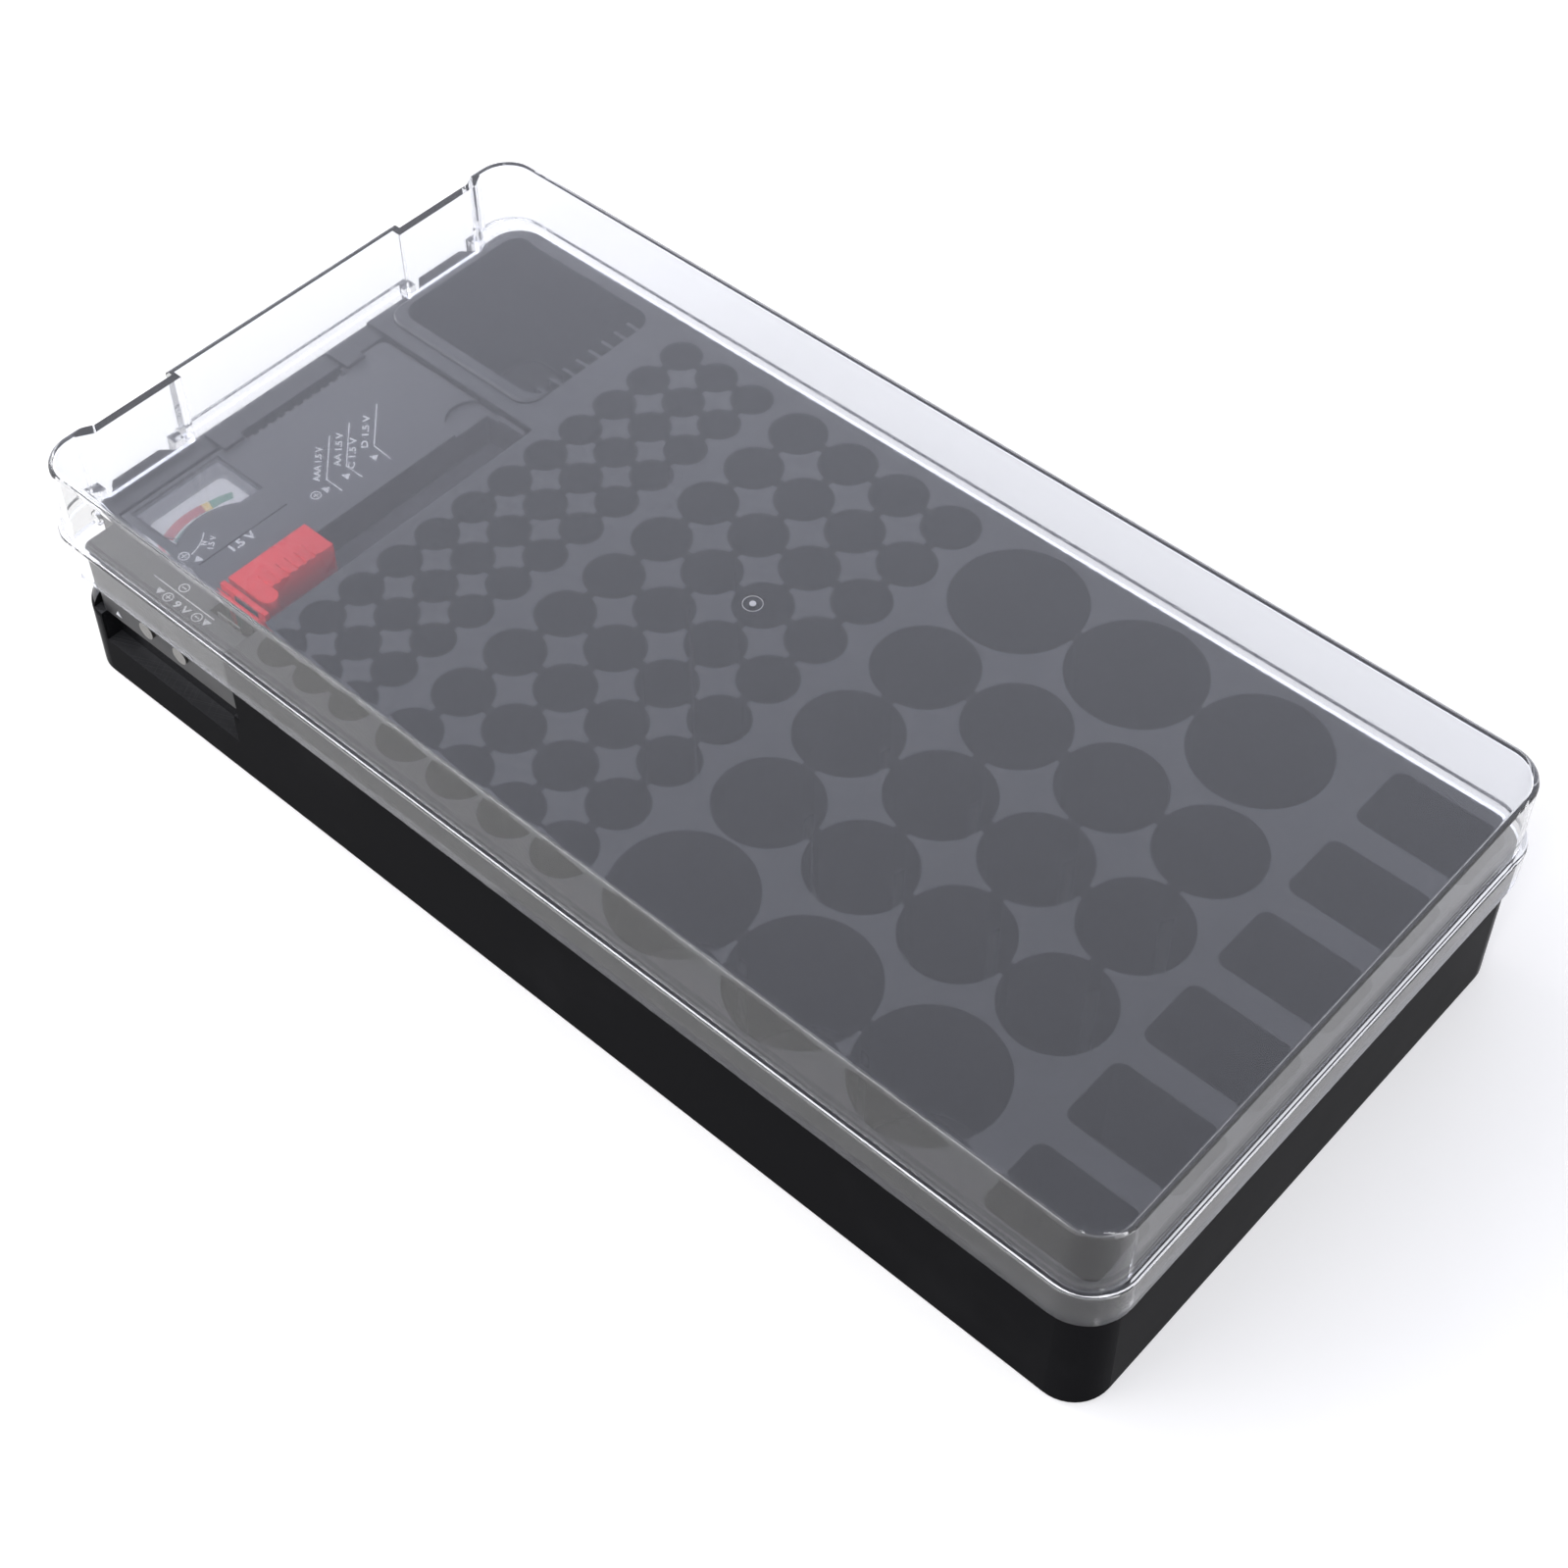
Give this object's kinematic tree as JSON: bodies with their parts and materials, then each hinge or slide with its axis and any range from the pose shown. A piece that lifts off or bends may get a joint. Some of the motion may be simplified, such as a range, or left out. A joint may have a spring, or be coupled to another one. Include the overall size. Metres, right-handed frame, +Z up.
{
  "type": "battery storage case",
  "caption": "Flat black tray with round and square cell pockets, an open compartment and a clip-in cell tester, under a hinged clear lid.",
  "frame": {"origin": "on the table, under the middle of the whole case's box", "axes": "+X to the right end (away from the hinges), +Y to the far long side, +Z up"},
  "size_m": [0.3308, 0.164, 0.0681],
  "materials": {
    "black_plastic": "glossy black moulding",
    "clear_plastic": "clear moulded polypropylene, slightly hazy",
    "tester_plastic": "black moulding, fine satin",
    "red_plastic": "red moulding",
    "window_plastic": "clear meter window",
    "dial_paper": "printed dial with a red, yellow and green scale",
    "needle_black": "black painted sheet",
    "contact_metal": "nickel-plated spring sheet",
    "steel": "plain steel",
    "copper_winding": "enamelled copper wire",
    "resistor_body": "coated resistor"
  },
  "bodies": {
    "case": {"tray": "black_plastic", "tester_upper_housing": "tester_plastic", "tester_lower_housing": "tester_plastic", "meter_window": "window_plastic", "meter_dial": "dial_paper", "meter_magnet": "steel", "lower_bridge": "contact_metal", "upper_bridge": "contact_metal", "fixed_contact": "contact_metal", "nine_volt_positive_stud": "contact_metal", "nine_volt_negative_stud": "contact_metal", "slider_spring": "steel", "load_resistor": "resistor_body", "housing_screws": "steel"},
    "lid": {"lid": "clear_plastic"},
    "slider": {"slider": "red_plastic", "slider_contact": "contact_metal"},
    "needle": {"meter_needle": "needle_black", "needle_staff": "steel", "moving_coil": "copper_winding"}
  },
  "joints": [
    {"name": "lid_hinge", "type": "hinge", "parent": "case", "child": "lid", "pos_m": [-0.16297, 0, 0.0377], "axis": [0, -1, 0], "range_deg": [0, 180]},
    {"name": "slider_slide", "type": "slide", "parent": "case", "child": "slider", "axis": [0, 1, 0], "range_m": [0, 0.0588], "stiffness_N_per_m": 30, "springref_m": -0.01, "deforming": ["slider_spring"]},
    {"name": "needle_swing", "type": "hinge", "parent": "case", "child": "needle", "pos_m": [-0.12162, -0.05304, 0.0403], "axis": [0, 0, -1], "range_deg": [0, 60], "stiffness_Nm_per_rad": 0.0002}
  ]
}
